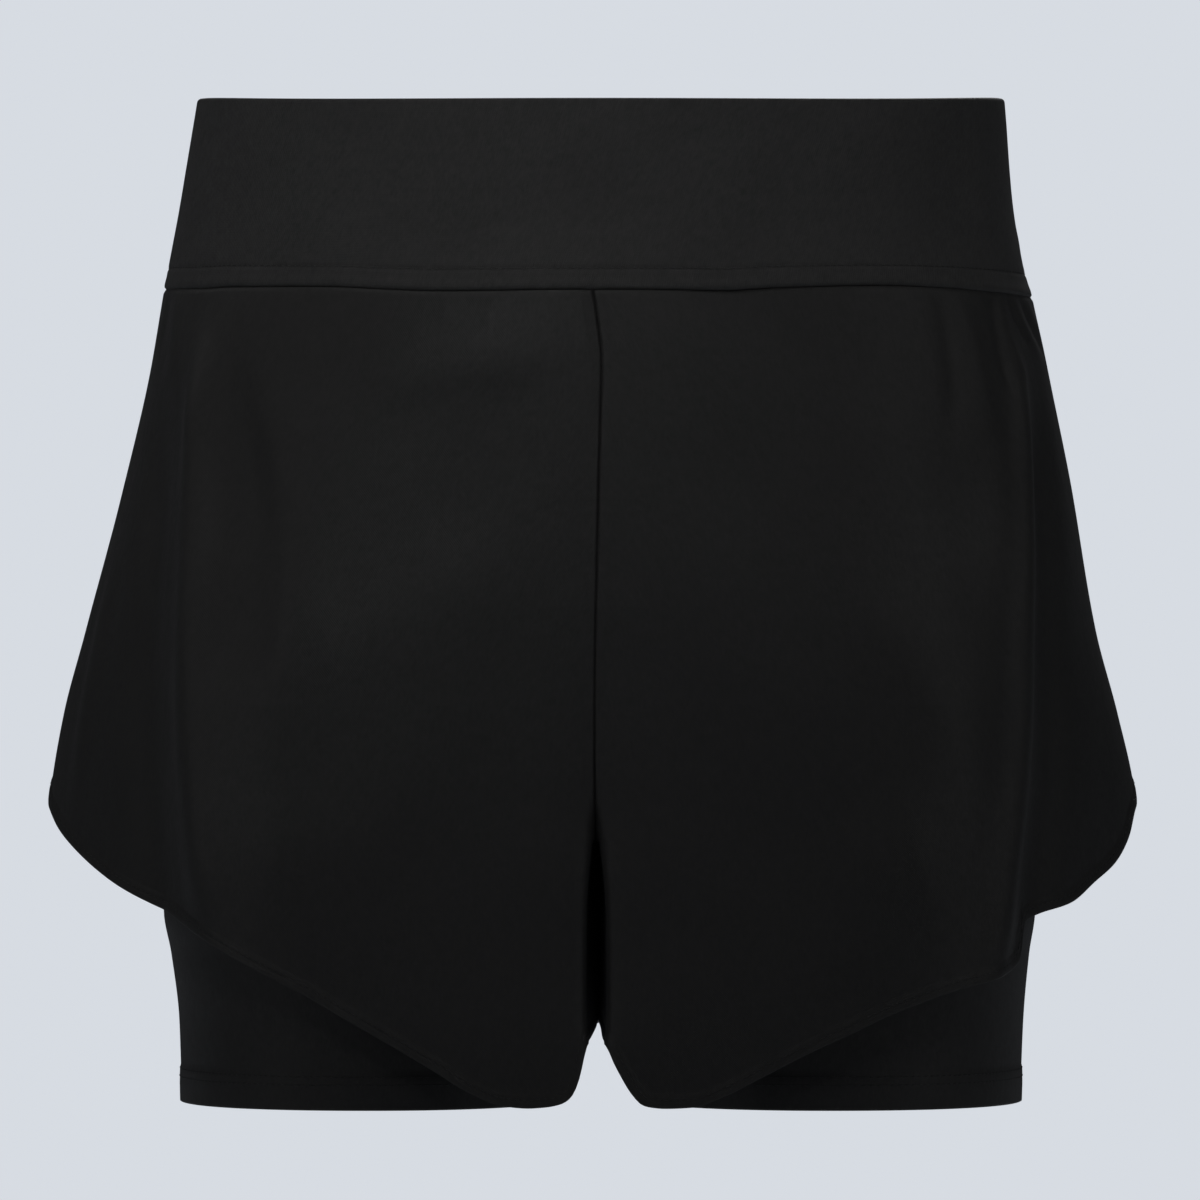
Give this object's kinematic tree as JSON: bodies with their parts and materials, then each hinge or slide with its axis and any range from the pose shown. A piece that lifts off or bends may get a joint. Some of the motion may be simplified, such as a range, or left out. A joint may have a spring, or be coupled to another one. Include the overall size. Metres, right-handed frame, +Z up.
{
  "type": "tennis shorts",
  "caption": "Two-layer high-waisted tennis shorts, filled out as worn: flared woven shell with raised rounded side hems over close-fitting knitted inner shorts",
  "frame": {"origin": "centre of the waist opening, level with the waistband's top edge at the side seams", "axes": "+Z up; the front faces -Y; +X is the wearer's left, which is the viewer's right from the front"},
  "size_m": [0.4067, 0.2567, 0.3774],
  "materials": {
    "band_jersey": "matt double jersey over elastic, black",
    "shell_weave": "fine plain weave with a faint sheen, black",
    "inner_knit": "smooth matt stretch knit, black"
  },
  "bodies": {
    "root": {"waistband_front": "band_jersey", "waistband_back": "band_jersey", "shell_front_left": "shell_weave", "shell_front_right": "shell_weave", "shell_back_left": "shell_weave", "shell_back_right": "shell_weave", "inner_left": "inner_knit", "inner_right": "inner_knit"}
  },
  "joints": []
}
